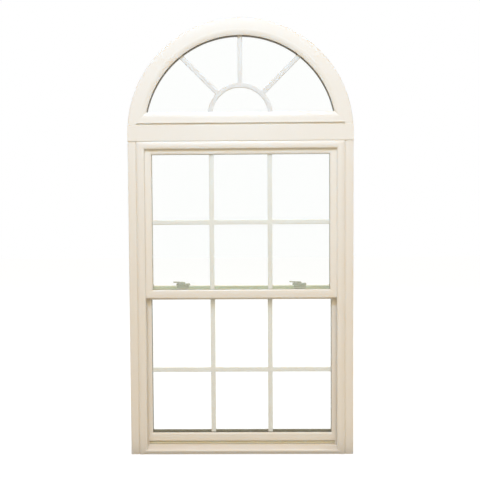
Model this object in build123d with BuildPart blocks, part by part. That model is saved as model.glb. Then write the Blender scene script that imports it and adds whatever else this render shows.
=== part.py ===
"""Half-round window over a double-hung window, seen from outdoors along +Y.

Millimetres. X runs along the wall, +Y points indoors and +Z up. The origin lies on
the flat underside of the sill, midway along it and midway through the frame.
"""

from build123d import *
from math import sqrt
import os

# Overall sizes
unit_width = 914.4
double_hung_height = 1320.8
half_width = unit_width / 2
arch_radius = unit_width / 2
spring_z = double_hung_height
interior = Vector(0, 1, 0)

# Outdoor face of the frame: a set-back outer band, a groove and a proud inner band
outer_band = 33.5
band_recess = 3.0
band_crown = 1.0
groove_width = 5.0
groove_depth = 7.5
shoulder_depth = 2.6
face_width = 66.5
edge_ease = 2.0

# Sash members and the clearances they run in
sash_depth = 28.6
sash_face_gap = 0.7
sash_side_gap = 1.5
sash_head_gap = 0.3
sash_crown = 1.0
sash_ease = 1.5
stile_width = 43.0
top_rail = 38.5
meeting_rail = 34.0
check_rail = 57.5
bottom_rail = 48.5
leg_thickness = 5.0
leg_edge = 3.5
leg_bevel = 5.0

# Tracks of the double-hung frame, measured inwards from its outer side and front
stop_depth = 14.0
track_width = sash_depth + 2 * sash_face_gap
parting_thickness = 3.5
inner_stop_thickness = 5.1
upper_floor = 49.0
lower_floor = 39.2
parting_width = 69.2
inner_stop_width = 61.0
slot_width = 13.0
slot_depth = 5.0
parting_front = stop_depth + track_width
parting_back = parting_front + parting_thickness
inner_stop_front = parting_back + track_width
frame_depth = inner_stop_front + inner_stop_thickness
front_y = -frame_depth / 2

# Sill
nose_underside = 8.0
nose_height = 17.5
nose_undercut = 2.5
nose_cope = 50.5
sill_slope_top = 23.5
sash_seat = 26.5
dam_height = 44.0
sill_half = half_width - outer_band
nose_half = half_width - nose_cope

# Sealed glass units
glass_bite = 9.0
pocket_bite = 10.0
pane_thickness = 3.0
air_space = 10.0
spacer_show = 1.0
spacer_inset = 2.0
unit_thickness = 2 * pane_thickness + air_space
bead_seal = 0.8
bead_gap = 0.3
bead_bevel = 4.0
bottom_bead_rise = 6.5

# Upper sash in the outdoor track, lower sash in the indoor one
upper_half = half_width - upper_floor - sash_side_gap
lower_half = half_width - lower_floor - sash_side_gap
upper_front = stop_depth + sash_face_gap
lower_front = parting_back + sash_face_gap
upper_top = double_hung_height - upper_floor - sash_head_gap
upper_bottom = 645.0
check_rail_top = 693.0
rail_rebate_height = 13.5
rail_rebate_depth = 12.0
lift_width = 420.0
lift_reach = 9.0
lift_height = 8.0
lift_drop = 14.0
lift_margin = 3.0

# Grilles between the glass
bar_width = 19.0
bar_thickness = 6.0
bar_bevel = 1.8
bar_draw = 1.9
lower_bar_drop = 16.0
bar_x = (upper_half - stile_width) / 3 - bar_draw
hub_radius = 123.0
hub_rise = 68.2
spoke_angles = (45, 90, 135)

# Half-round unit
arch_band = 43.0
arch_crown = 0.6
arch_face = 67.5
base_face = 81.7
ovolo_middle = 57.0
ovolo_depth = 5.0
arch_sight_depth = 9.5
joint_low = 30.0
joint_high = 37.5
joint_depth = 11.0
arch_pocket_front = 17.0
arch_sight = arch_radius - arch_face
arch_glass_bite = 10.0
arch_pocket_bite = 11.0
arch_spacer_show = 3.2
spoke_tuck = 1.0
arch_bead_depth = 14.0

# Covers over the joint between the two units
cover_drop = 35.7
cover_rise = 29.0
cover_ease = 1.0
cover_clearance = 0.02

# Hardware on the meeting rails
lock_inset = 174.5
lock_length = 58.0
lock_width = 20.0
lock_base_height = 8.0
lock_round = 1.5
lock_hub_radius = 9.0
lock_hub_height = 1.5
lever_length = 38.0
lever_root = 14.0
lever_tip = 8.0
lever_height = 5.0
lever_rise = 0.04
lever_round = 1.2
keeper_length = 50.0
keeper_thickness = 3.0
keeper_seat = 12.0
keeper_rise = 5.0
keeper_lip = 6.0
latch_length = 44.0
latch_width = 14.0
latch_height = 4.0
latch_round = 1.2
latch_inset = 30.0
ridge_width = 4.0
ridge_length = 10.0
ridge_height = 1.5
lock_x = lower_half - lock_inset

# Screw holes through the jambs
screw_radius = 2.75
screw_end_gap = 130.0
lower_screw_gap = 430.0
upper_screw_gap = 400.0
lower_screws = (screw_end_gap, screw_end_gap + lower_screw_gap)
top_screw_z = double_hung_height - screw_end_gap
upper_screws = (top_screw_z - upper_screw_gap, top_screw_z)


def at(depth):
    """Y of a depth measured from the outdoor face."""
    return front_y + depth


def upright(depth, z=0.0):
    """Plane of the wall at a depth, with its own Y up and its normal outdoors."""
    return Plane(origin=(0, at(depth), z), x_dir=(1, 0, 0), z_dir=(0, -1, 0))


def save(part, label):
    part.label = label
    export_step(part, f"parts/{label}.step")


def outline(runs, place=lambda u, d: (u, d)):
    """Closed loop of runs, where one point ends a straight run and two make an arc."""
    with BuildLine() as loop:
        start = runs[-1][-1]
        for run in runs:
            points = [place(*point) for point in (start, *run)]
            if len(points) == 2:
                Line(*points)
            else:
                ThreePointArc(*points)
            start = run[-1]
    return loop.edges()


def crowned(start, end, depth, crown):
    """Run across a band whose middle stands proud of its two edges."""
    return ((start + end) / 2, depth), (end, depth + crown)


def mitre_plane(corner, inner_corner, middle):
    """Plane through a corner and along its mitre, facing the member's middle."""
    run = inner_corner - corner
    normal = run.cross(interior)
    if normal.dot(middle - corner) < 0:
        normal = -normal
    return Plane(origin=corner, z_dir=normal)


def member(loop, start, end, inward, inner_start=None, inner_end=None):
    """Extrusion along an outer edge, mitred where an inner corner is given."""
    run = end - start
    middle = (start + end) / 2
    with BuildPart() as extrusion:
        with BuildSketch(Plane(origin=start, x_dir=inward, z_dir=run)):
            make_face(loop)
        extrude(amount=run.length)
        if inner_start is not None:
            split(bisect_by=mitre_plane(start, inner_start, middle), keep=Keep.TOP)
        if inner_end is not None:
            split(bisect_by=mitre_plane(end, inner_end, middle), keep=Keep.TOP)
    return extrusion.part


def slab(face_half, low, high, front, thickness):
    """Upright flat piece between two heights."""
    with BuildPart() as piece:
        with BuildSketch(upright(front + thickness)):
            with Locations((0, (low + high) / 2)):
                Rectangle(2 * face_half, high - low)
        extrude(amount=thickness)
    return piece.part


# Double-hung frame
def track(floor, front, back, slotted):
    """Floor of a sash track, with the slot that a balance shoe runs in."""
    if not slotted:
        return [((floor, back),)]
    near = (front + back - slot_width) / 2
    far = (front + back + slot_width) / 2
    slot_floor = floor - slot_depth
    return [((floor, near),), ((slot_floor, near),), ((slot_floor, far),), ((floor, far),), ((floor, back),)]


def frame_profile(slotted):
    rim_depth = band_recess + band_crown
    inner_start = outer_band + groove_width / 2
    inner_end = face_width - edge_ease
    return [
        ((0, rim_depth + edge_ease),),
        ((edge_ease, rim_depth),),
        crowned(edge_ease, outer_band - groove_width / 2, band_recess, band_crown),
        ((outer_band, groove_depth),),
        ((inner_start, shoulder_depth),),
        crowned(inner_start, inner_end, 0, shoulder_depth),
        ((face_width, shoulder_depth + edge_ease),),
        ((face_width, stop_depth),),
        ((upper_floor, stop_depth),),
        *track(upper_floor, stop_depth, parting_front, slotted),
        ((parting_width, parting_front),),
        ((parting_width, parting_back),),
        ((lower_floor, parting_back),),
        *track(lower_floor, parting_back, inner_stop_front, slotted),
        ((inner_stop_width, inner_stop_front),),
        ((inner_stop_width, frame_depth - edge_ease),),
        ((inner_stop_width - edge_ease, frame_depth),),
        ((0, frame_depth),),
    ]


sill_profile = [
    (at(0), nose_underside),
    (at(0), nose_height - edge_ease),
    (at(edge_ease), nose_height),
    (at(parting_front), sill_slope_top),
    (at(parting_front), sash_seat),
    (at(inner_stop_front), sash_seat),
    (at(inner_stop_front), dam_height),
    (at(frame_depth), dam_height),
    (at(frame_depth), 0),
    (at(nose_undercut), 0),
    (at(nose_undercut), nose_underside),
]


def sill():
    """Sloped sill, whose nose stops short of the jambs' bands."""
    with BuildPart() as piece:
        with BuildSketch(Plane.YZ.offset(-sill_half)):
            with BuildLine():
                Polyline(*sill_profile, close=True)
            make_face()
        extrude(amount=2 * sill_half)
        with BuildSketch(upright(stop_depth)):
            for side in (-1, 1):
                with Locations((side * (nose_half + sill_half) / 2, dam_height / 2)):
                    Rectangle(sill_half - nose_half, dam_height)
        extrude(amount=stop_depth, mode=Mode.SUBTRACT)
    return piece.part


def jamb(side, label, sill_part):
    """Jamb on one side, coped over the sill, with its screw holes."""
    foot = Vector(side * half_width, front_y, 0)
    corner = Vector(side * half_width, front_y, double_hung_height)
    inner = corner + Vector(-side * face_width, 0, -face_width)
    inward = Vector(-side, 0, 0)
    loop = outline(frame_profile(slotted=True))
    if side < 0:
        blank = member(loop, foot, corner, inward, inner_end=inner)
    else:
        blank = member(loop, corner, foot, inward, inner_start=inner)
    screw_rows = [
        (at(stop_depth + track_width / 2), lower_screws),
        (at(parting_back + track_width / 2), upper_screws),
    ]
    with BuildPart() as post:
        add(blank)
        add(sill_part, mode=Mode.SUBTRACT)
        with BuildSketch(upright(nose_undercut)):
            with Locations((0, nose_underside / 2)):
                Rectangle(2 * nose_half, nose_underside)
        extrude(amount=nose_undercut, mode=Mode.SUBTRACT)
        for y, heights in screw_rows:
            with BuildSketch(Plane.YZ.offset(side * half_width)):
                with Locations(*[(y, z) for z in heights]):
                    Circle(screw_radius)
            extrude(amount=-side * face_width, mode=Mode.SUBTRACT)
    save(post.part, label)


def head():
    left = Vector(-half_width, front_y, double_hung_height)
    right = Vector(half_width, front_y, double_hung_height)
    inner_left = left + Vector(face_width, 0, -face_width)
    inner_right = right + Vector(-face_width, 0, -face_width)
    down = Vector(0, 0, -1)
    loop = outline(frame_profile(slotted=False))
    save(member(loop, left, right, down, inner_left, inner_right), "head")


# Sashes
def sash_face(start, width):
    """Crowned outdoor face, bevelled towards the glass, and the pocket behind it."""
    bevel = leg_bevel * width / stile_width
    return [
        ((start, sash_crown + sash_ease),),
        ((start + sash_ease, sash_crown),),
        crowned(start + sash_ease, width - bevel, 0, sash_crown),
        ((width, leg_edge),),
        ((width, leg_thickness),),
        ((width - pocket_bite, leg_thickness),),
        ((width - pocket_bite, sash_depth),),
        ((sash_ease, sash_depth),),
        ((0, sash_depth - sash_ease),),
    ]


def sash_loop(width):
    return outline(sash_face(0, width))


def bottom_rail_loop():
    """Bottom rail with the outdoor rebate that clears the sill."""
    rebate = [((0, rail_rebate_depth),), ((rail_rebate_height, rail_rebate_depth),)]
    return outline(rebate + sash_face(rail_rebate_height, bottom_rail))


def lift_lip(back, top):
    """Finger lip along the indoor face of the bottom rail."""
    with BuildPart() as lip:
        with BuildSketch(Plane.YZ.offset(-lift_width / 2)):
            with BuildLine():
                Polyline(
                    (back, top - lift_drop),
                    (back + lift_reach, top - lift_height),
                    (back + lift_reach, top),
                    (back, top),
                    close=True,
                )
            make_face()
        extrude(amount=lift_width)
    return lip.part


def sash(name, half, bottom, top, front, rails, names):
    """Two rails and two stiles, mitred, around one sealed glass unit."""
    y = at(front)
    low_rail, high_rail = rails
    low_left, low_right = Vector(-half, y, bottom), Vector(half, y, bottom)
    top_left, top_right = Vector(-half, y, top), Vector(half, y, top)
    in_low_left = low_left + Vector(stile_width, 0, low_rail)
    in_low_right = low_right + Vector(-stile_width, 0, low_rail)
    in_top_left = top_left + Vector(stile_width, 0, -high_rail)
    in_top_right = top_right + Vector(-stile_width, 0, -high_rail)
    right, up = Vector(1, 0, 0), Vector(0, 0, 1)
    stile = sash_loop(stile_width)
    save(member(stile, low_left, top_left, right, in_low_left, in_top_left), f"{name}_left_stile")
    save(member(stile, top_right, low_right, -right, in_top_right, in_low_right), f"{name}_right_stile")
    high = member(sash_loop(high_rail), top_left, top_right, -up, in_top_left, in_top_right)
    save(high, names[1])
    if name == "lower":
        lip_top = bottom + low_rail - pocket_bite - lift_margin
        with BuildPart() as low:
            add(member(bottom_rail_loop(), low_right, low_left, up, in_low_right, in_low_left))
            add(lift_lip(y + sash_depth, lip_top))
        save(low.part, names[0])
    else:
        save(member(sash_loop(low_rail), low_right, low_left, up, in_low_right, in_low_left), names[0])
    return half - stile_width, bottom + low_rail, top - high_rail, front + leg_thickness


def glass_unit(name, sight, bar_drop=0.0, bead_rise=0.0):
    """Two panes, the spacer between them, the grille inside and the indoor beads."""
    sight_half, sight_low, sight_high, glass_front = sight
    pane_half = sight_half + glass_bite
    low, high = sight_low - glass_bite, sight_high + glass_bite
    inner_front = glass_front + pane_thickness + air_space
    save(slab(pane_half, low, high, glass_front, pane_thickness), f"{name}_outer_pane")
    save(slab(pane_half, low, high, inner_front, pane_thickness), f"{name}_inner_pane")

    clear_half = sight_half - spacer_show
    clear_low, clear_high = sight_low + spacer_show, sight_high - spacer_show
    clear_middle = (clear_low + clear_high) / 2
    with BuildPart() as spacer:
        with BuildSketch(upright(inner_front)):
            with Locations((0, (low + high) / 2)):
                Rectangle(2 * (pane_half - spacer_inset), high - low - 2 * spacer_inset)
            with Locations((0, clear_middle)):
                Rectangle(2 * clear_half, clear_high - clear_low, mode=Mode.SUBTRACT)
        extrude(amount=air_space)
    save(spacer.part, f"{name}_spacer")

    def on_rim(point):
        gaps = (abs(point.X) - clear_half, point.Z - clear_low, point.Z - clear_high)
        return min(abs(gap) for gap in gaps) < bead_gap

    bar_back = inner_front - (air_space - bar_thickness) / 2
    with BuildPart() as grille:
        with BuildSketch(upright(bar_back)):
            with Locations((0, clear_middle - bar_drop)):
                Rectangle(2 * clear_half, bar_width)
            for x in (-bar_x, bar_x):
                with Locations((x, clear_middle)):
                    Rectangle(bar_width, clear_high - clear_low)
        extrude(amount=bar_thickness)
        bar_edges = grille.faces().filter_by(Axis.Y).edges()
        chamfer([edge for edge in bar_edges if not on_rim(edge.center())], length=bar_bevel)
    save(grille.part, f"{name}_grille")

    bead_front = glass_front + unit_thickness + bead_seal
    bead_depth = sash_depth - leg_thickness - unit_thickness - bead_seal
    bead_half = sight_half + pocket_bite
    bead_low, bead_high = sight_low - pocket_bite, sight_high + pocket_bite
    bead_sight_low = sight_low + bead_rise

    def on_sight_line(point):
        gaps = (abs(point.X) - sight_half, point.Z - bead_sight_low, point.Z - sight_high)
        return min(abs(gap) for gap in gaps) < bead_gap / 2

    with BuildPart() as bead:
        with BuildSketch(upright(bead_front + bead_depth)):
            with Locations((0, (bead_low + bead_high) / 2)):
                Rectangle(2 * bead_half, bead_high - bead_low)
            with Locations((0, (bead_sight_low + sight_high) / 2)):
                Rectangle(2 * sight_half, sight_high - bead_sight_low, mode=Mode.SUBTRACT)
            for side in (-1, 1):
                for corner_z, lean in ((bead_low, side), (bead_high, -side)):
                    with Locations(Location((side * bead_half, corner_z), -45 * lean)):
                        Rectangle(6 * pocket_bite, bead_gap, mode=Mode.SUBTRACT)
        extrude(amount=bead_depth)
        indoor_edges = bead.edges().group_by(Axis.Y)[-1]
        chamfer([edge for edge in indoor_edges if on_sight_line(edge.center())], length=bead_bevel)
    save(bead.part, f"{name}_glazing_bead")


# Half-round unit
mitre_slope = (arch_radius - sqrt(arch_sight**2 - base_face**2)) / base_face


def base_height(radius):
    """Height over the spring line where the mitre crosses a given radius."""
    a = mitre_slope**2 + 1
    b = arch_radius * mitre_slope
    c = arch_radius**2 - radius**2
    return (b - sqrt(b * b - a * c)) / a


arch_pocket = arch_sight + arch_pocket_bite
arch_rim_depth = band_recess + arch_crown
arch_profile = [
    ((0, arch_rim_depth + edge_ease),),
    ((edge_ease, arch_rim_depth),),
    crowned(edge_ease, arch_band, band_recess, arch_crown),
    ((ovolo_middle, ovolo_depth), (arch_face, arch_sight_depth)),
    ((arch_face, arch_pocket_front),),
    ((arch_face - arch_pocket_bite, arch_pocket_front),),
    ((arch_face - arch_pocket_bite, frame_depth),),
    ((0, frame_depth),),
]


def arch_frame():
    """Half ring, cut at both feet along the mitres to the base rail."""
    inner_x = arch_radius - mitre_slope * base_face
    loop = outline(arch_profile, lambda u, d: (arch_radius - u, at(d)))
    with BuildPart() as ring:
        with BuildSketch(Plane.XY.offset(spring_z)):
            make_face(loop)
        revolve(axis=Axis((0, 0, spring_z), (0, -1, 0)), revolution_arc=180)
        with BuildSketch(upright(frame_depth, spring_z)):
            for side in (-1, 1):
                with BuildLine():
                    Polyline(
                        (side * arch_radius, 0),
                        (side * inner_x, base_face),
                        (side * (inner_x - arch_face), base_face),
                        (side * (inner_x - arch_face), 0),
                        close=True,
                    )
                make_face()
        extrude(amount=frame_depth, mode=Mode.SUBTRACT)
    save(ring.part, "arch_frame")


def arch_base_rail():
    """Base rail, whose profile is the ring's seen along the mitre, over the joint's groove."""
    right = Vector(arch_radius, front_y, spring_z)
    left = Vector(-arch_radius, front_y, spring_z)
    inner_right = right + Vector(-mitre_slope * base_face, 0, base_face)
    inner_left = left + Vector(mitre_slope * base_face, 0, base_face)
    loop = outline(arch_profile, lambda u, d: (base_height(arch_radius - u), d))
    up = Vector(0, 0, 1)
    joint_half = arch_radius - mitre_slope * joint_high
    with BuildPart() as rail:
        add(member(loop, right, left, up, inner_right, inner_left))
        with BuildSketch(upright(joint_depth, spring_z)):
            with Locations((0, (joint_low + joint_high) / 2)):
                Rectangle(2 * joint_half, joint_high - joint_low)
        extrude(amount=joint_depth, mode=Mode.SUBTRACT)
    save(rail.part, "arch_base_rail")


def half_round(radius, base, front, thickness, hole=None):
    """Flat piece with an arched top and a straight foot, or the rim of one."""
    foot = sqrt(radius**2 - base**2)
    with BuildPart() as piece:
        with BuildSketch(upright(front + thickness, spring_z)):
            with BuildLine():
                Line((-foot, base), (foot, base))
                ThreePointArc((foot, base), (0, radius), (-foot, base))
            make_face()
            if hole is not None:
                hole_radius, hole_base = hole
                hole_foot = sqrt(hole_radius**2 - hole_base**2)
                with BuildLine():
                    Line((-hole_foot, hole_base), (hole_foot, hole_base))
                    ThreePointArc((hole_foot, hole_base), (0, hole_radius), (-hole_foot, hole_base))
                make_face(mode=Mode.SUBTRACT)
        extrude(amount=thickness)
    return piece.part


def sunburst_face():
    """Half ring and its spokes, out to the edge of the vinyl."""
    hub = (0, hub_rise)
    reach, base = arch_sight + spoke_tuck, base_face - spoke_tuck
    foot = sqrt(reach**2 - base**2)
    with BuildSketch() as sunburst:
        with Locations(hub):
            Circle(hub_radius + bar_width / 2)
        for angle in spoke_angles:
            with Locations(Location(hub, angle)):
                Rectangle(arch_radius, bar_width, align=(Align.MIN, Align.CENTER))
        with Locations(hub):
            Circle(hub_radius - bar_width / 2, mode=Mode.SUBTRACT)
        with BuildLine():
            Line((-foot, base), (foot, base))
            ThreePointArc((foot, base), (0, reach), (-foot, base))
        make_face(mode=Mode.INTERSECT)
    return sunburst.sketch


def arch_glass():
    """Two panes, the notched spacer between them and the sunburst in its notches."""
    radius = arch_sight + arch_glass_bite
    base = base_face - arch_glass_bite
    outer_front = arch_pocket_front
    inner_front = outer_front + pane_thickness + air_space
    save(half_round(radius, base, outer_front, pane_thickness), "arch_outer_pane")
    save(half_round(radius, base, inner_front, pane_thickness), "arch_inner_pane")
    rim = (radius - spacer_inset, base + spacer_inset)
    clear_radius, clear_base = arch_sight - arch_spacer_show, base_face + spacer_show
    sunburst = sunburst_face()
    with BuildPart() as spacer:
        add(half_round(*rim, outer_front + pane_thickness, air_space, hole=(clear_radius, clear_base)))
        with BuildSketch(upright(inner_front, spring_z)):
            add(sunburst)
        extrude(amount=air_space, mode=Mode.SUBTRACT)
    save(spacer.part, "arch_spacer")

    def on_rim(point):
        height = point.Z - spring_z
        reach = sqrt(point.X**2 + height**2)
        return reach > clear_radius - bar_width / 2 or height < clear_base

    bar_back = inner_front - (air_space - bar_thickness) / 2
    with BuildPart() as grille:
        with BuildSketch(upright(bar_back, spring_z)):
            add(sunburst)
        extrude(amount=bar_thickness)
        bar_edges = grille.faces().filter_by(Axis.Y).edges()
        chamfer([edge for edge in bar_edges if not on_rim(edge.center())], length=bar_bevel)
    save(grille.part, "sunburst_grille")


def arch_beads():
    """Indoor beads: one round the arch and a straight one along the base."""
    front = arch_pocket_front + unit_thickness + bead_seal
    back = front + arch_bead_depth
    rim_foot = base_face + bead_gap
    ring = half_round(arch_pocket, rim_foot, front, arch_bead_depth, hole=(arch_sight, rim_foot - bead_gap))
    with BuildPart() as arch_bead:
        add(ring)
        with BuildSketch(upright(back, spring_z)):
            with Locations((0, rim_foot / 2)):
                Rectangle(2 * arch_radius, rim_foot)
        extrude(amount=arch_bead_depth, mode=Mode.SUBTRACT)
        indoor_arcs = arch_bead.edges().group_by(Axis.Y)[-1].filter_by(GeomType.CIRCLE)
        chamfer(indoor_arcs.sort_by(SortBy.RADIUS)[0], length=bead_bevel)
    save(arch_bead.part, "arch_bead")
    pocket_base = base_height(arch_pocket)
    foot = sqrt(arch_pocket**2 - base_face**2)
    with BuildPart() as base_bead:
        with BuildSketch(upright(back, spring_z)):
            with Locations((0, (pocket_base + base_face) / 2)):
                Rectangle(2 * foot - 2 * bead_gap, base_face - pocket_base)
        extrude(amount=arch_bead_depth)
        indoor_edges = base_bead.edges().group_by(Axis.Y)[-1].filter_by(Axis.X)
        chamfer(indoor_edges.sort_by(Axis.Z)[-1], length=bead_bevel)
    save(base_bead.part, "arch_base_bead")


# Covers over the joint between the units
def mull_covers():
    """Flat strips that fill the set-back bands outdoors and lie on the frame indoors."""
    low, high = spring_z - cover_drop, spring_z + cover_rise
    thickness = band_recess - cover_clearance
    for label, front in (("mull_cover_outdoor", 0), ("mull_cover_indoor", frame_depth)):
        with BuildPart() as cover:
            add(slab(half_width, low, high, front, thickness))
            outward = cover.faces().sort_by(Axis.Y)
            face = outward[0] if front == 0 else outward[-1]
            chamfer(face.edges().filter_by(Axis.X), length=cover_ease)
        save(cover.part, label)


# Locks, keepers and tilt latches
def lock(side_name, x, rail_y):
    """Sash lock: a rounded base on the check rail and a lever that points to -X."""
    with BuildPart() as base:
        with BuildSketch(Plane.XY.offset(check_rail_top)):
            with Locations((x, rail_y)):
                SlotOverall(lock_length, lock_width)
        extrude(amount=lock_base_height)
        fillet(base.edges().group_by(Axis.Z)[-1], radius=lock_round)
    save(base.part, f"{side_name}_lock_base")

    pivot = Vector(x, rail_y, check_rail_top + lock_base_height)
    arm_root = pivot + Vector(0, 0, lock_hub_height)
    with BuildPart() as lever:
        with BuildSketch(Plane(origin=pivot)):
            Circle(lock_hub_radius)
        extrude(amount=lock_hub_height + lever_height / 2)
        with BuildSketch(Plane(origin=arm_root, x_dir=(-1, 0, lever_rise), z_dir=(lever_rise, 0, 1))):
            Circle(lever_root / 2)
            with Locations((lever_length, 0)):
                Circle(lever_tip / 2)
            make_hull()
        extrude(amount=lever_height)
        fillet(lever.faces().sort_by(Axis.Z)[-1].edges(), radius=lever_round)
    save(lever.part, f"{side_name}_lock_lever")


def keeper(side_name, x):
    """Keeper on the indoor face of the meeting rail, hooked over towards the glass."""
    seat = at(upper_front + sash_depth)
    low = upper_bottom + keeper_seat
    high = upper_bottom + meeting_rail + keeper_rise
    with BuildPart() as hook:
        with BuildSketch(Plane.YZ.offset(x - keeper_length / 2)):
            with BuildLine():
                Polyline(
                    (seat, low),
                    (seat + keeper_thickness, low),
                    (seat + keeper_thickness, high),
                    (seat - keeper_lip, high),
                    (seat - keeper_lip, high - keeper_thickness),
                    (seat, high - keeper_thickness),
                    close=True,
                )
            make_face()
        extrude(amount=keeper_length)
    save(hook.part, f"{side_name}_keeper")


def tilt_latch(side_name, x, rail_y):
    """Sliding latch with a raised thumb ridge."""
    with BuildPart() as latch:
        with BuildSketch(Plane.XY.offset(check_rail_top)):
            with Locations((x, rail_y)):
                SlotOverall(latch_length, latch_width)
        extrude(amount=latch_height)
        fillet(latch.edges().group_by(Axis.Z)[-1], radius=latch_round)
        with BuildSketch(Plane.XY.offset(check_rail_top + latch_height)):
            with Locations((x, rail_y)):
                Rectangle(ridge_width, ridge_length)
        extrude(amount=ridge_height)
    save(latch.part, f"{side_name}_tilt_latch")


os.makedirs("parts", exist_ok=True)
sill_part = sill()
save(sill_part, "sill")
jamb(-1, "left_jamb", sill_part)
jamb(1, "right_jamb", sill_part)
head()
upper_sight = sash(
    "upper", upper_half, upper_bottom, upper_top, upper_front,
    (meeting_rail, top_rail), ("upper_meeting_rail", "upper_top_rail"),
)
glass_unit("upper", upper_sight)
lower_sight = sash(
    "lower", lower_half, sash_seat, check_rail_top, lower_front,
    (bottom_rail, check_rail), ("lower_bottom_rail", "lower_check_rail"),
)
glass_unit("lower", lower_sight, lower_bar_drop, bottom_bead_rise)
arch_frame()
arch_base_rail()
arch_glass()
arch_beads()
mull_covers()
check_rail_y = at(lower_front + sash_depth / 2)
for side_name, side in (("left", -1), ("right", 1)):
    lock(side_name, side * lock_x, check_rail_y)
    keeper(side_name, side * lock_x)
    tilt_latch(side_name, side * (lower_half - latch_inset), check_rail_y)
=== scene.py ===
"""Almond vinyl half-round window over a double-hung window, seen from outdoors.

Metres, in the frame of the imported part: X along the wall, +Y indoors, +Z up.
"""
import math

import bmesh
import bpy
from mathutils import Color, Matrix, Vector


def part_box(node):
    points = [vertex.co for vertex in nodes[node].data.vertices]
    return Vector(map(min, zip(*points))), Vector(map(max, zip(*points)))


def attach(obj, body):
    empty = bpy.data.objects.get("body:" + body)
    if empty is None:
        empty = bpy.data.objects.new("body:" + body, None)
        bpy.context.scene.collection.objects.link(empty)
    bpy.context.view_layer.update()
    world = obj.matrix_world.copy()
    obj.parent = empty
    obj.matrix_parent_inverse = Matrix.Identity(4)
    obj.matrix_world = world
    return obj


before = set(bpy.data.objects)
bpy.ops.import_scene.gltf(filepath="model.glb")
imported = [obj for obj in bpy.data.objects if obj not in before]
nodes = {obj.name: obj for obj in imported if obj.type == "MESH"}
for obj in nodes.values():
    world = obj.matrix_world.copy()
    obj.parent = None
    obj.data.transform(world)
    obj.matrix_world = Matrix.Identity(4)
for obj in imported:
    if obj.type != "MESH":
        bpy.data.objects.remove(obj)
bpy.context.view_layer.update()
SPRING_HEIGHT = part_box("arch_frame")[0].z
QUARTER_TURN = math.pi / 2

# Places of the colour sockets on a Mix node
MIX_FACTOR, MIX_FIRST, MIX_SECOND = 0, 6, 7
MIX_RESULT = 2

SCREEN_WHITE = 255


def ink(red, green, blue):
    """Linear colour of a screen colour given from 0 to 255."""
    screen = Color((red / SCREEN_WHITE, green / SCREEN_WHITE, blue / SCREEN_WHITE))
    return (*screen.from_srgb_to_scene_linear(), 1.0)


def grey(share):
    """Linear grey that gives back this share of the light."""
    return (share, share, share, 1.0)


WHITE = grey(1.0)


class Value:
    """A shader socket that takes part in sums, so that 1 - mask adds its Math node."""

    def __init__(self, finish, socket):
        self.finish = finish
        self.socket = socket

    def __add__(self, other):
        return self.finish.math("ADD", self, other)

    def __radd__(self, other):
        return self.finish.math("ADD", other, self)

    def __sub__(self, other):
        return self.finish.math("SUBTRACT", self, other)

    def __rsub__(self, other):
        return self.finish.math("SUBTRACT", other, self)

    def __mul__(self, other):
        return self.finish.math("MULTIPLY", self, other)

    def __rmul__(self, other):
        return self.finish.math("MULTIPLY", other, self)

    def __pow__(self, power):
        return self.finish.math("POWER", self, power)

    def __abs__(self):
        return self.finish.math("ABSOLUTE", self)

    def between(self, low, high):
        """Number that runs from low to high as this one runs from 0 to 1."""
        return low + self * (high - low)

    def shared(self, other, share):
        """This share of the value, and the rest from another."""
        return self * share + other * (1 - share)


class Finish:
    """A node tree that is filled by one method."""

    def __init__(self, tree):
        self.tree = tree
        tree.nodes.clear()

    def node(self, kind, settings=None, sockets=None, out=0):
        """Adds a node with its settings and its sockets' values or links, and gives one output."""
        made = self.tree.nodes.new(kind)
        for name, setting in (settings or {}).items():
            setattr(made, name, setting)
        for name, given in (sockets or {}).items():
            if isinstance(given, Value):
                self.tree.links.new(given.socket, made.inputs[name])
            else:
                made.inputs[name].default_value = given
        return Value(self, made.outputs[out]) if made.outputs else None

    def math(self, operation, *terms):
        return self.node("ShaderNodeMath", {"operation": operation}, dict(enumerate(terms)))

    def place(self):
        """Where a point lies on the part."""
        return self.node("ShaderNodeTexCoord", out="Object")

    def axis(self, place, letter):
        return self.node("ShaderNodeSeparateXYZ", {}, {"Vector": place}, letter)

    def stretched(self, place, scale):
        return self.node("ShaderNodeMapping", {}, {"Vector": place, "Scale": scale})

    def noise(self, place, scale, detail):
        sockets = {"Vector": place, "Scale": scale, "Detail": detail}
        return self.node("ShaderNodeTexNoise", {}, sockets, "Fac")

    def blend(self, mask, dark, pale):
        """Colour that runs from dark to pale with the mask."""
        sockets = {MIX_FACTOR: mask, MIX_FIRST: dark, MIX_SECOND: pale}
        return self.node("ShaderNodeMix", {"data_type": "RGBA"}, sockets, MIX_RESULT)

    def bump(self, height, strength, distance):
        sockets = {"Height": height, "Strength": strength, "Distance": distance}
        return self.node("ShaderNodeBump", {}, sockets, "Normal")

    def diffuse(self, colour):
        return self.node("ShaderNodeBsdfDiffuse", {}, {"Color": colour})

    def mixed(self, factor, first, second):
        """Shader between two others."""
        return self.node("ShaderNodeMixShader", {}, {0: factor, 1: first, 2: second})

    def surface(self, shader, kind="ShaderNodeOutputMaterial"):
        self.node(kind, {}, {"Surface": shader})

    def principled(self, sockets):
        """Ends the tree in a Principled shader with these sockets."""
        self.surface(self.node("ShaderNodeBsdfPrincipled", {}, sockets))


def new_finish(name):
    """An empty material and the tree that fills it."""
    material = bpy.data.materials.new(name)
    material.use_nodes = True
    return material, Finish(material.node_tree)


# Finishes
def round_the_arch(finish, place):
    """Place measured about the arch's centre: its turn, its depth and its radius."""
    x, y, z = (finish.axis(place, letter) for letter in "XYZ")
    rise = z - SPRING_HEIGHT
    turn = finish.math("ARCTAN2", rise, x)
    radius = (x * x + rise * rise) ** 0.5
    return finish.node("ShaderNodeCombineXYZ", {}, {"X": turn, "Y": y, "Z": radius})


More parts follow.
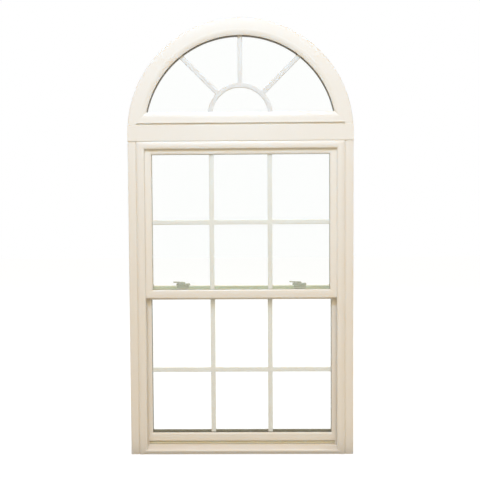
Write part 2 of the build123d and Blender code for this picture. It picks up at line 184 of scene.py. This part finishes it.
# Grain of each run: close across the extrusion and long along it
UPRIGHT_GRAIN = (500.0, 500.0, 4.0)
LEVEL_GRAIN = (4.0, 500.0, 500.0)
ARCH_GRAIN = (2.0, 500.0, 500.0)


def vinyl(name, grain, arched=False):
    """Satin almond vinyl, with faint draw lines along the extrusion."""
    material, finish = new_finish(name)
    place = finish.place()
    run = round_the_arch(finish, place) if arched else place
    cloud = finish.noise(place, scale=3.0, detail=3.0)
    lines = finish.noise(finish.stretched(run, grain), scale=1.0, detail=2.0)
    peel = finish.noise(place, scale=900.0, detail=2.0)
    shade = cloud.shared(lines, share=0.6)
    relief = peel.shared(lines, share=0.5)
    finish.principled({
        "Base Color": finish.blend(shade, ink(229, 220, 204), ink(235, 228, 215)),
        "Roughness": lines.between(0.34, 0.48),
        "Normal": finish.bump(relief, strength=0.05, distance=0.0004),
        "IOR": 1.46,
    })
    return material


def grille_paint(name, dark, pale):
    """Baked enamel on the flat bars between the panes."""
    material, finish = new_finish(name)
    place = finish.place()
    cloud = finish.noise(place, scale=40.0, detail=2.0)
    peel = finish.noise(place, scale=1500.0, detail=1.0)
    finish.principled({
        "Base Color": finish.blend(cloud, dark, pale),
        "Roughness": cloud.between(0.30, 0.40),
        "Normal": finish.bump(peel, strength=0.04, distance=0.0002),
    })
    return material


def spacer_metal(name, dark, pale):
    """Rolled metal spacer bar, dulled by its sealant."""
    material, finish = new_finish(name)
    cloud = finish.noise(finish.place(), scale=120.0, detail=3.0)
    finish.principled({
        "Base Color": finish.blend(cloud, dark, pale),
        "Roughness": cloud.between(0.45, 0.60),
        "Metallic": 0.3,
        "Specular IOR Level": 0.2,
    })
    return material


# Share of the light that a pane mirrors, seen squarely and edge on
MIRROR_SQUARE = 0.035
MIRROR_EDGE_ON = 0.935
SLANT_POWER = 5


def clear_glass():
    """Thin clear pane, faintly green, that mirrors more at a slant."""
    material, finish = new_finish("clear_glass")
    slant = finish.node("ShaderNodeLayerWeight", {}, {"Blend": 0.5}, "Facing")
    mirror = (slant ** SLANT_POWER).between(MIRROR_SQUARE, MIRROR_EDGE_ON)
    clear = finish.node("ShaderNodeBsdfTransparent", {}, {"Color": (0.995, 0.998, 0.995, 1.0)})
    gloss = finish.node("ShaderNodeBsdfAnisotropic", {}, {"Color": WHITE, "Roughness": 0.02})
    finish.surface(finish.mixed(mirror, clear, gloss))
    return material


def hardware_paint(name, dark, pale):
    """Almond enamel on die-cast locks, keepers and latches."""
    material, finish = new_finish(name)
    place = finish.place()
    cloud = finish.noise(place, scale=60.0, detail=3.0)
    peel = finish.noise(place, scale=1200.0, detail=2.0)
    finish.principled({
        "Base Color": finish.blend(cloud, dark, pale),
        "Roughness": cloud.between(0.28, 0.40),
        "Normal": finish.bump(peel, strength=0.06, distance=0.0003),
    })
    return material


def screw_steel():
    """Zinc-plated steel with a fine mottled grain."""
    material, finish = new_finish("screw_steel")
    cloud = finish.noise(finish.place(), scale=900.0, detail=3.0)
    finish.principled({
        "Base Color": finish.blend(cloud, ink(150, 148, 138), ink(190, 188, 178)),
        "Roughness": cloud.between(0.30, 0.50),
        "Normal": finish.bump(cloud, strength=0.15, distance=0.0001),
        "Metallic": 0.9,
    })
    return material


# Tufts of the pile, close along the strip
PILE_GRAIN = (2400.0, 300.0, 300.0)


def pile_fibre_painted_shade():
    """Brushed pile of a weatherstrip in grey green, partly its own colour and partly painted shade from
    the meeting rail above it.
    """
    material, finish = new_finish("pile_fibre_painted_shade")
    place = finish.place()
    tufts = finish.noise(finish.stretched(place, PILE_GRAIN), scale=1.0, detail=3.0)
    cloud = finish.noise(place, scale=25.0, detail=3.0)
    shade = tufts.shared(cloud, share=0.6)
    finish.principled({
        "Base Color": finish.blend(shade, ink(184, 190, 150), ink(212, 214, 180)),
        "Roughness": tufts.between(0.85, 0.95),
        "Normal": finish.bump(tufts, strength=0.5, distance=0.0004),
    })
    return material


def rubber(name, dark, pale):
    """Matt extruded rubber with a faint bloom."""
    material, finish = new_finish(name)
    place = finish.place()
    bloom = finish.noise(place, scale=70.0, detail=4.0)
    peel = finish.noise(place, scale=1800.0, detail=2.0)
    finish.principled({
        "Base Color": finish.blend(bloom, dark, pale),
        "Roughness": bloom.between(0.60, 0.75),
        "Normal": finish.bump(peel, strength=0.1, distance=0.0003),
        "Specular IOR Level": 0.15,
    })
    return material


vinyl_upright = vinyl("vinyl_upright", UPRIGHT_GRAIN)
vinyl_level = vinyl("vinyl_level", LEVEL_GRAIN)
vinyl_arch = vinyl("vinyl_arch", ARCH_GRAIN, arched=True)
glass = clear_glass()
arch_spacer = spacer_metal("arch_spacer_metal", ink(112, 107, 96), ink(132, 127, 115))
# Lit and shaded copies of one spacer metal: the upper sash's paler one is painted light, the lower sash's
# dark olive one is painted shade at the foot of its pane
upper_spacer = spacer_metal("upper_spacer_painted_light", ink(150, 144, 122), ink(168, 162, 140))
lower_spacer = spacer_metal("lower_spacer_painted_shade", ink(72, 66, 42), ink(88, 82, 56))
enamel = grille_paint("grille_enamel", ink(224, 222, 211), ink(230, 228, 218))
# The sunburst's bars take a darker copy of the grille enamel, which is painted shade
sun_enamel_painted_shade = grille_paint("sunburst_enamel_painted_shade", ink(215, 210, 202), ink(221, 216, 209))
# Lit and shaded copies of one hardware enamel: the lock, lever, cam and strike get a khaki darkened as
# painted shade behind the glass, and the keeper a paler copy as painted light
cast = hardware_paint("lock_enamel_painted_shade", ink(150, 150, 122), ink(164, 164, 136))
keeper_cast_painted_light = hardware_paint("keeper_enamel_painted_light", ink(196, 194, 164), ink(206, 204, 176))
steel = screw_steel()
pile = pile_fibre_painted_shade()
# Lit and shaded copies of one gasket rubber: the upper one is a paler painted light, the lower one's dark
# olive is painted shade along the bottom of the lower pane
upper_rubber_painted_light = rubber("upper_gasket_painted_light", ink(176, 170, 146), ink(190, 184, 160))
lower_rubber_painted_shade = rubber("lower_gasket_painted_shade", ink(122, 114, 70), ink(137, 129, 85))
seal_rubber = rubber("seal_rubber", ink(205, 196, 164), ink(215, 206, 176))

# A node's finish goes by the first ending in this list that its name has
FINISH_BY_ENDING = (
    ("pane", glass),
    ("arch_spacer", arch_spacer),
    ("upper_spacer", upper_spacer),
    ("lower_spacer", lower_spacer),
    ("sunburst_grille", sun_enamel_painted_shade),
    ("grille", enamel),
    ("keeper", keeper_cast_painted_light),
    ("lock_base", cast),
    ("lock_lever", cast),
    ("latch", cast),
    ("jamb", vinyl_upright),
    ("stile", vinyl_upright),
    ("arch_frame", vinyl_arch),
    ("arch_bead", vinyl_arch),
    ("", vinyl_level),
)

for name, node in nodes.items():
    finish_of_node = next(finish for ending, finish in FINISH_BY_ENDING if name.endswith(ending))
    node.data.materials.clear()
    node.data.materials.append(finish_of_node)


def in_scene(name, data):
    """An object with this data, put in the scene."""
    holder = bpy.data.objects.new(name, data)
    bpy.context.scene.collection.objects.link(holder)
    return holder


def finished(name, form, material):
    """Makes a bmesh an object with one finish."""
    mesh = bpy.data.meshes.new(name)
    form.to_mesh(mesh)
    form.free()
    mesh.materials.append(material)
    return in_scene(name, mesh)


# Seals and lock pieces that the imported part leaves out
def piece(name, form, material):
    """Makes a bmesh an object that rides with the window."""
    bmesh.ops.recalc_face_normals(form, faces=form.faces[:])
    holder = finished(name, form, material)
    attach(holder, "root")


def whole(form):
    """All the geometry of a bmesh."""
    return form.verts[:] + form.edges[:] + form.faces[:]


def only_verts(result):
    """The vertices among what an operator made."""
    return [part for part in result["geom"] if isinstance(part, bmesh.types.BMVert)]


def block(low, high):
    """A bmesh box between two corners."""
    form = bmesh.new()
    size = high - low
    placed = Matrix.Translation((low + high) / 2) @ Matrix.Diagonal((*size, 1.0))
    bmesh.ops.create_cube(form, size=1.0, matrix=placed)
    return form


def disc(sides, radius, placed):
    """A bmesh of one round face."""
    form = bmesh.new()
    bmesh.ops.create_circle(form, cap_ends=True, segments=sides, radius=radius, matrix=placed)
    return form


def draw_out(form, faces, step):
    """Extrudes faces by a step."""
    grown = bmesh.ops.extrude_face_region(form, geom=faces)
    bmesh.ops.translate(form, verts=only_verts(grown), vec=step)


def trim(form, point, normal):
    """Cuts off what lies beyond a plane."""
    bmesh.ops.bisect_plane(form, geom=whole(form), plane_co=point, plane_no=normal, clear_outer=True)


def rounded(form, edges, radius, segments):
    """Rounds edges over."""
    bmesh.ops.bevel(form, geom=edges, offset=radius, offset_type="OFFSET", affect="EDGES",
                    segments=segments, profile=0.5, material=-1)


SHARP_ANGLE = math.radians(60)
EASE = 0.0004
EASE_SEGMENTS = 2


def eased(form):
    """Takes the edge off every sharp corner of a casting."""
    sharp = [edge for edge in form.edges if edge.calc_face_angle(0.0) > SHARP_ANGLE]
    rounded(form, sharp, EASE, EASE_SEGMENTS)


PILE_ROWS = 2
PILE_HEIGHT = 0.0068
PILE_PITCH = 0.0075
PILE_THICKNESS = 0.0022
PILE_ROUND = 0.6 * PILE_THICKNESS
PILE_SEGMENTS = 3
PILE_BITE = 0.0005
PILE_TOP = 0.0012


def weatherstrips():
    """Rows of pile on the check rail, which brush the meeting rail when the sashes are shut."""
    rail_low, rail_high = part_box("lower_check_rail")
    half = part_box("upper_outer_pane")[1].x
    for row in range(PILE_ROWS):
        top = rail_high.z - PILE_TOP - row * PILE_PITCH
        back = rail_low.y + PILE_BITE
        low = Vector((-half, back - PILE_THICKNESS, top - PILE_HEIGHT))
        high = Vector((half, back, top))
        form = block(low, high)
        outdoor = [edge for edge in form.edges if all(vert.co.y < back for vert in edge.verts)]
        rounded(form, outdoor, PILE_ROUND, PILE_SEGMENTS)
        piece(f"check_rail_pile_{row + 1}", form, pile)


SASH_RAILS = {
    "upper": ("upper_meeting_rail", "upper_top_rail"),
    "lower": ("lower_bottom_rail", "lower_check_rail"),
}
GASKET_MARGIN = 0.001
GASKET_SLACK = 0.00005
GASKET_LIP = 0.0006
# The lower sash's bottom bead stands above its rail, and the gasket with it
LOWER_GASKET_RISE = 0.0075


def gasket(sash, material, rise=0.0):
    """Rubber between the inner pane and the indoor bead, with a lip at the sight line."""
    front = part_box(f"{sash}_inner_pane")[1].y + GASKET_SLACK
    bead_low, bead_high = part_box(f"{sash}_glazing_bead")
    sight_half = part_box(f"{sash}_right_stile")[0].x - GASKET_LIP
    low_rail, high_rail = SASH_RAILS[sash]
    sight_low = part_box(low_rail)[1].z + rise + GASKET_LIP
    sight_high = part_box(high_rail)[0].z - GASKET_LIP
    outer_low = bead_low.z + GASKET_MARGIN
    outer_high = bead_high.z - GASKET_MARGIN
    outer_half = bead_high.x - GASKET_MARGIN
    middle_height = (outer_low + outer_high) / 2
    form = bmesh.new()
    upright = Matrix.Rotation(QUARTER_TURN, 4, "X")
    size = Matrix.Diagonal((outer_half, (outer_high - outer_low) / 2, 1.0, 1.0))
    placed = Matrix.Translation((0, front, middle_height)) @ upright @ size
    bmesh.ops.create_grid(form, x_segments=1, y_segments=1, size=1.0, matrix=placed)
    opening = form.faces[:][0]
    bmesh.ops.inset_individual(form, faces=[opening], thickness=GASKET_MARGIN)
    for vert in opening.verts:
        vert.co.x = math.copysign(sight_half, vert.co.x)
        vert.co.z = sight_high if vert.co.z > middle_height else sight_low
    bmesh.ops.delete(form, geom=[opening], context="FACES_ONLY")
    draw_out(form, form.faces[:], (0, bead_low.y - GASKET_SLACK - front, 0))
    piece(f"{sash}_glazing_gasket", form, material)


BULB_RADIUS = 0.0046
BULB_SIDES = 28
BULB_BACK = 0.0030
BULB_END = 0.004
REBATE_DEPTH = 0.012


def bulb_seal():
    """Bulb in the rebate under the bottom rail, pressed on the sill's seat."""
    rail_low, rail_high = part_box("lower_bottom_rail")
    back = rail_low.y + REBATE_DEPTH
    start = Vector((rail_low.x + BULB_END, back - BULB_BACK, rail_low.z + BULB_RADIUS))
    across = Matrix.Rotation(QUARTER_TURN, 4, "Y")
    form = disc(BULB_SIDES, BULB_RADIUS, Matrix.Translation(start) @ across)
    trim(form, (0, back, 0), (0, 1, 0))
    draw_out(form, form.faces[:], (rail_high.x - rail_low.x - 2 * BULB_END, 0, 0))
    piece("bottom_rail_bulb", form, seal_rubber)


STRIKE_THICKNESS = 0.0025
STRIKE_DROP = 0.0025
STRIKE_ROUND = 0.006
STRIKE_SEGMENTS = 6


def keeper_strike(side):
    """Upright plate on the keeper, nearly as high as the lock, that the lock's cam pulls on."""
    keeper_low, keeper_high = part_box(f"{side}_keeper")
    base_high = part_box(f"{side}_lock_base")[1]
    low = Vector((keeper_low.x, keeper_high.y - STRIKE_THICKNESS, keeper_high.z - STRIKE_THICKNESS))
    high = Vector((keeper_high.x, keeper_high.y, base_high.z - STRIKE_DROP))
    form = block(low, high)
    crown = [edge for edge in form.edges
             if all(vert.co.z > keeper_high.z for vert in edge.verts)
             and edge.verts[0].co.x == edge.verts[1].co.x]
    rounded(form, crown, STRIKE_ROUND, STRIKE_SEGMENTS)
    eased(form)
    piece(f"{side}_keeper_strike", form, cast)


CAM_LIFT = 0.002
CAM_THICKNESS = 0.004
CAM_SIDES = 48


def lock_cam(side):
    """Half-round cam that the lever swings out of the lock, over the rail's edge to the strike."""
    base_low, base_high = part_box(f"{side}_lock_base")
    strike_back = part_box(f"{side}_keeper")[1].y
    pivot = (base_low + base_high) / 2
    foot = Vector((pivot.x, pivot.y, base_low.z + CAM_LIFT))
    form = disc(CAM_SIDES, pivot.y - strike_back, Matrix.Translation(foot))
    trim(form, pivot, (0, 1, 0))
    draw_out(form, form.faces[:], (0, 0, CAM_THICKNESS))
    eased(form)
    piece(f"{side}_lock_cam", form, cast)


SCREW_RADIUS = 0.0031
SCREW_SIDES = 32
SCREW_HEIGHT = 0.0014
SCREW_DOME = 0.0009
SCREW_SEGMENTS = 4
SCREW_SPREAD = 0.0215
CROSS_HALF = 0.0004
CROSS_ARM = 0.0016
CROSS_DEPTH = 0.0010
LEVEL_NORMAL = 0.99


def in_cross(face):
    """True on the faces of a screw's top that lie in its cross."""
    spot = face.calc_center_median()
    near, far = sorted((abs(spot.x), abs(spot.y)))
    on_top = face.normal.z > LEVEL_NORMAL and spot.z > SCREW_HEIGHT / 2
    return on_top and near < CROSS_HALF and far < CROSS_ARM


def lock_screws(side):
    """Two cross-head screws at the ends of the lock's base."""
    base_low, base_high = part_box(f"{side}_lock_base")
    middle = (base_low + base_high) / 2
    form = disc(SCREW_SIDES, SCREW_RADIUS, Matrix())
    draw_out(form, form.faces[:], (0, 0, SCREW_HEIGHT))
    rim = [edge for edge in form.edges if all(vert.co.z > SCREW_HEIGHT / 2 for vert in edge.verts)]
    rounded(form, rim, SCREW_DOME, SCREW_SEGMENTS)
    for cut in (-CROSS_ARM, -CROSS_HALF, CROSS_HALF, CROSS_ARM):
        for normal in ((1, 0, 0), (0, 1, 0)):
            bmesh.ops.bisect_plane(form, geom=whole(form), plane_co=cut * Vector(normal), plane_no=normal)
    cross = [face for face in form.faces if in_cross(face)]
    draw_out(form, cross, (0, 0, -CROSS_DEPTH))
    bmesh.ops.delete(form, geom=cross, context="FACES_ONLY")
    first_place = (middle.x - SCREW_SPREAD, middle.y, base_high.z)
    bmesh.ops.translate(form, verts=form.verts[:], vec=first_place)
    twin = bmesh.ops.duplicate(form, geom=whole(form))
    bmesh.ops.translate(form, verts=only_verts(twin), vec=(2 * SCREW_SPREAD, 0, 0))
    piece(f"{side}_lock_screws", form, steel)


weatherstrips()
for side in ("left", "right"):
    keeper_strike(side)
    lock_cam(side)
    lock_screws(side)
# The upper gasket takes the paler painted-light rubber, the lower one the dark painted-shade rubber
gasket("upper", upper_rubber_painted_light)
gasket("lower", lower_rubber_painted_shade, LOWER_GASKET_RISE)
bulb_seal()


# Stage
def seen_directly(finish):
    """1 on rays from the camera, from mirrors and through glass."""
    unseen = 1.0
    for ray in ("Is Camera Ray", "Is Glossy Ray", "Is Transmission Ray"):
        unseen = unseen * (1 - finish.node("ShaderNodeLightPath", out=ray))
    return 1 - unseen


FLOOR_GLOW = 0.97
FLOOR_FAINT = grey(0.12)
FLOOR_PAINTED_SHADE = grey(0.05)
FLOOR_PALE = (0.58, 0.58, 0.56, 1.0)
# Distance from the wall's line where the floor's painted shade at the window's foot ends and where the
# pale floor begins
FOOT_END = 0.07
PALE_START = 0.12


def floor_white():
    """White that keeps the window's shadow, and throws little light up close to the sill."""
    material, finish = new_finish("floor_white")
    away = abs(finish.axis(finish.place(), "Y"))
    reach = {"Value": away, "From Min": FOOT_END, "From Max": PALE_START}
    spread = finish.node("ShaderNodeMapRange", {}, reach)
    matt = finish.mixed(spread, finish.diffuse(FLOOR_PAINTED_SHADE), finish.diffuse(FLOOR_PALE))
    glow = finish.node("ShaderNodeEmission", {}, {"Color": WHITE, "Strength": FLOOR_GLOW})
    white = finish.node("ShaderNodeAddShader", {}, {0: finish.diffuse(FLOOR_FAINT), 1: glow})
    finish.surface(finish.mixed(seen_directly(finish), matt, white))
    return material


FLOOR_HALF = 12.0


def floor():
    """Wide floor that the window stands on."""
    form = bmesh.new()
    bmesh.ops.create_grid(form, x_segments=1, y_segments=1, size=FLOOR_HALF)
    plane = finished("floor", form, floor_white())


AMBIENT = (1.0, 0.77, 0.51, 1.0)
AMBIENT_STRENGTH = 0.285


def studio_world():
    """White where it is seen, and a soft warm light on the part."""
    world = bpy.data.worlds.new("studio")
    world.use_nodes = True
    finish = Finish(world.node_tree)
    soft = finish.node("ShaderNodeBackground", {}, {"Color": AMBIENT, "Strength": AMBIENT_STRENGTH})
    white = finish.node("ShaderNodeBackground", {}, {"Color": WHITE, "Strength": 1.0})
    finish.surface(finish.mixed(seen_directly(finish), soft, white), "ShaderNodeOutputWorld")
    bpy.context.scene.world = world


WIDE_BEAM = math.pi
SKY_BEAM = math.radians(60)


def lamp(name, place, target, size, power, colour, spread=WIDE_BEAM):
    """Soft rectangular lamp that faces a point."""
    light = bpy.data.lights.new(name, "AREA")
    light.shape = "RECTANGLE"
    light.size, light.size_y = size
    light.energy = power
    light.color = colour
    light.spread = spread
    holder = in_scene(name, light)
    aim = Vector(target) - Vector(place)
    holder.location = place
    holder.rotation_mode = "QUATERNION"
    holder.rotation_quaternion = aim.to_track_quat("-Z", "Y")


# Camera, 2.7 m in front of the window and a little above its middle
LENS_MM = 50.0
SENSOR_MM = 36.0
CAMERA_PLACE = (0.0282, -2.7475, 0.9948)
CAMERA_YAW = math.radians(0.675)
CAMERA_PITCH = math.radians(-2.353)
CAMERA_ROLL = math.radians(-0.347)


def camera():
    """Camera at the outdoor side, a little turned, tipped down and tilted."""
    data = bpy.data.cameras.new("camera")
    data.lens = LENS_MM
    data.sensor_width = SENSOR_MM
    holder = in_scene("camera", data)
    yaw = Matrix.Rotation(CAMERA_YAW, 4, "Z")
    pitch = Matrix.Rotation(QUARTER_TURN + CAMERA_PITCH, 4, "X")
    roll = Matrix.Rotation(CAMERA_ROLL, 4, "Z")
    holder.matrix_world = Matrix.Translation(CAMERA_PLACE) @ yaw @ pitch @ roll
    bpy.context.scene.camera = holder


floor()
studio_world()
# The front lamps stand high or wide, where no pane mirrors them to the camera
SIDE_COLOUR = (1.0, 0.985, 0.76)
SIDE_SIZE = (1.0, 2.4)
lamp("key", place=(-0.1, -3.4, 4.6), target=(0, 0, 0.9), size=(1.6, 2.2), power=94.0,
     colour=(1.0, 0.70, 0.555))
lamp("sky", place=(-0.2, -2.6, 3.5), target=(0, 0, 1.45), size=(1.4, 0.6), power=9.7,
     colour=(0.155, 0.52, 1.0), spread=SKY_BEAM)
lamp("front", place=(0, -5.2, 3.9), target=(0, 0, 0.8), size=(1.8, 1.2), power=79.5,
     colour=(1.0, 0.97, 0.74))
lamp("left", place=(-1.95, -4.3, 1.5), target=(0, 0, 1.0), size=SIDE_SIZE, power=9.5,
     colour=SIDE_COLOUR)
lamp("right", place=(1.95, -4.3, 1.5), target=(0, 0, 1.0), size=SIDE_SIZE, power=11.5,
     colour=SIDE_COLOUR)
lamp("back", place=(1.7, 3.2, 4.0), target=(0, 0, 0.9), size=(2.0, 1.4), power=200.0,
     colour=(0.97, 0.96, 0.93))
camera()
bpy.context.scene.view_settings.view_transform = "Standard"
